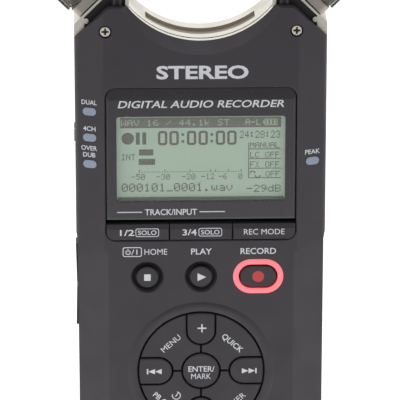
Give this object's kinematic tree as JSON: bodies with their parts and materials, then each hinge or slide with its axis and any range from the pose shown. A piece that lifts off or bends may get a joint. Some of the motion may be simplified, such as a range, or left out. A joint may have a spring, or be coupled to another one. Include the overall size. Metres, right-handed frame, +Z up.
{
  "type": "portable field recorder",
  "caption": "Handheld stereo field recorder with swivelling microphones, display, transport keys, control pad, microphone inputs, battery bay and tripod thread.",
  "frame": {"origin": "middle of the bottom end, on the surface it stands on", "axes": "+X right and +Z up as seen from the front, +Y from the front face to the back"},
  "size_m": [0.09, 0.035, 0.155],
  "materials": {
    "shell": "fine matt texture",
    "silver": "satin",
    "base": "satin",
    "bezel": "gloss",
    "lens": "clear",
    "lcd": "pale green, reflective display",
    "indicator": "translucent",
    "record_ring": "translucent, lit red",
    "keys": "matt",
    "side_keys": "matt",
    "key_mat": "silicone",
    "board": "solder mask",
    "jack": "gloss",
    "socket_metal": "tinned",
    "socket": "satin",
    "contact": "gold plated",
    "cells": "printed sleeve",
    "insert": "nickel plated",
    "speaker": "paper cone",
    "screws": "nickel plated",
    "grille": "woven mesh",
    "capsule": "matt"
  },
  "bodies": {
    "case": {"battery_cells": "cells", "battery_contacts": "socket_metal", "battery_tray": "socket", "bottom_plate": "shell", "card_socket": "socket_metal", "combo_socket_left": "socket", "combo_socket_right": "socket", "display_bezel": "bezel", "display_lens": "lens", "front_screws": "screws", "front_shell": "shell", "headphone_jack": "jack", "indicator_lenses": "indicator", "key_board": "board", "key_mat": "key_mat", "lcd_panel": "lcd", "main_board": "board", "mid_frame": "silver", "rear_screws": "screws", "rear_shell": "shell", "record_light_ring": "record_ring", "socket_contacts": "contact", "speaker": "speaker", "swivel_base_left": "base", "swivel_base_right": "base", "tripod_insert": "insert", "usb_socket": "socket_metal"},
    "left_microphone": {"mic_post_left": "base", "mic_foot_left": "silver", "mic_capsule_left": "capsule", "mic_grille_left": "grille", "mic_cage_left": "silver"},
    "right_microphone": {"mic_post_right": "base", "mic_foot_right": "silver", "mic_capsule_right": "capsule", "mic_grille_right": "grille", "mic_cage_right": "silver"},
    "soft_key_left": {"soft_key_left": "keys"},
    "soft_key_middle": {"soft_key_middle": "keys"},
    "soft_key_right": {"soft_key_right": "keys"},
    "stop_button": {"stop_button": "keys"},
    "play_button": {"play_button": "keys"},
    "record_button": {"record_button": "keys"},
    "enter_button": {"enter_button": "keys"},
    "plus_button": {"plus_button": "keys"},
    "minus_button": {"minus_button": "keys"},
    "skip_back_button": {"skip_back_button": "keys"},
    "skip_forward_button": {"skip_forward_button": "keys"},
    "menu_button": {"menu_button": "keys"},
    "quick_button": {"quick_button": "keys"},
    "playback_button": {"playback_button": "keys"},
    "mixer_button": {"mixer_button": "keys"},
    "volume_rocker": {"volume_rocker": "side_keys"},
    "level_rocker": {"level_rocker": "side_keys"},
    "hold_switch": {"hold_switch": "side_keys"},
    "input_switch": {"input_switch": "side_keys"},
    "card_door": {"card_door": "shell"},
    "battery_door": {"battery_door": "shell"},
    "release_tab_left": {"release_tab_left": "side_keys"},
    "release_tab_right": {"release_tab_right": "side_keys"}
  },
  "joints": [
    {"name": "left_microphone_swivel", "type": "hinge", "parent": "case", "child": "left_microphone", "pos_m": [-0.0233, -0.0055, 0.135], "axis": [0, 0, 1], "range_deg": [-180, 0]},
    {"name": "right_microphone_swivel", "type": "hinge", "parent": "case", "child": "right_microphone", "pos_m": [0.0233, -0.0055, 0.135], "axis": [0, 0, 1], "range_deg": [0, 180]},
    {"name": "soft_key_left_press", "type": "slide", "parent": "case", "child": "soft_key_left", "axis": [0, 1, 0], "range_m": [0, 0.0004], "stiffness_N_per_m": 2500},
    {"name": "soft_key_middle_press", "type": "slide", "parent": "case", "child": "soft_key_middle", "axis": [0, 1, 0], "range_m": [0, 0.0004], "stiffness_N_per_m": 2500},
    {"name": "soft_key_right_press", "type": "slide", "parent": "case", "child": "soft_key_right", "axis": [0, 1, 0], "range_m": [0, 0.0004], "stiffness_N_per_m": 2500},
    {"name": "stop_button_press", "type": "slide", "parent": "case", "child": "stop_button", "axis": [0, 1, 0], "range_m": [0, 0.0004], "stiffness_N_per_m": 2500},
    {"name": "play_button_press", "type": "slide", "parent": "case", "child": "play_button", "axis": [0, 1, 0], "range_m": [0, 0.0004], "stiffness_N_per_m": 2500},
    {"name": "record_button_press", "type": "slide", "parent": "case", "child": "record_button", "axis": [0, 1, 0], "range_m": [0, 0.0004], "stiffness_N_per_m": 2500},
    {"name": "enter_button_press", "type": "slide", "parent": "case", "child": "enter_button", "axis": [0, 1, 0], "range_m": [0, 0.0004], "stiffness_N_per_m": 2500},
    {"name": "plus_button_press", "type": "slide", "parent": "case", "child": "plus_button", "axis": [0, 1, 0], "range_m": [0, 0.0004], "stiffness_N_per_m": 2500},
    {"name": "minus_button_press", "type": "slide", "parent": "case", "child": "minus_button", "axis": [0, 1, 0], "range_m": [0, 0.0004], "stiffness_N_per_m": 2500},
    {"name": "skip_back_button_press", "type": "slide", "parent": "case", "child": "skip_back_button", "axis": [0, 1, 0], "range_m": [0, 0.0004], "stiffness_N_per_m": 2500},
    {"name": "skip_forward_button_press", "type": "slide", "parent": "case", "child": "skip_forward_button", "axis": [0, 1, 0], "range_m": [0, 0.0004], "stiffness_N_per_m": 2500},
    {"name": "menu_button_press", "type": "slide", "parent": "case", "child": "menu_button", "axis": [0, 1, 0], "range_m": [0, 0.0004], "stiffness_N_per_m": 2500},
    {"name": "quick_button_press", "type": "slide", "parent": "case", "child": "quick_button", "axis": [0, 1, 0], "range_m": [0, 0.0004], "stiffness_N_per_m": 2500},
    {"name": "playback_button_press", "type": "slide", "parent": "case", "child": "playback_button", "axis": [0, 1, 0], "range_m": [0, 0.0004], "stiffness_N_per_m": 2500},
    {"name": "mixer_button_press", "type": "slide", "parent": "case", "child": "mixer_button", "axis": [0, 1, 0], "range_m": [0, 0.0004], "stiffness_N_per_m": 2500},
    {"name": "volume_rocker_tilt", "type": "hinge", "parent": "case", "child": "volume_rocker", "pos_m": [-0.0318, -0.0057, 0.0516], "axis": [0, 1, 0], "range_deg": [-2, 2], "stiffness_Nm_per_rad": 0.5},
    {"name": "level_rocker_tilt", "type": "hinge", "parent": "case", "child": "level_rocker", "pos_m": [0.0318, -0.0057, 0.0516], "axis": [0, 1, 0], "range_deg": [-2, 2], "stiffness_Nm_per_rad": 0.5},
    {"name": "hold_switch_slide", "type": "slide", "parent": "case", "child": "hold_switch", "axis": [0, 0, -1], "range_m": [0, 0.003]},
    {"name": "input_switch_slide", "type": "slide", "parent": "case", "child": "input_switch", "axis": [0, 0, 1], "range_m": [-0.003, 0.003]},
    {"name": "card_door_hinge", "type": "hinge", "parent": "case", "child": "card_door", "pos_m": [0.0341, -0.0024, 0.084], "axis": [0, 0, 1], "range_deg": [0, 100]},
    {"name": "battery_door_hinge", "type": "hinge", "parent": "case", "child": "battery_door", "pos_m": [0, 0.0167, 0.0802], "axis": [1, 0, 0], "range_deg": [0, 100]},
    {"name": "release_tab_left_press", "type": "slide", "parent": "case", "child": "release_tab_left", "axis": [0, 0, 1], "range_m": [0, 0.0015], "stiffness_N_per_m": 1200},
    {"name": "release_tab_right_press", "type": "slide", "parent": "case", "child": "release_tab_right", "axis": [0, 0, 1], "range_m": [0, 0.0015], "stiffness_N_per_m": 1200}
  ]
}
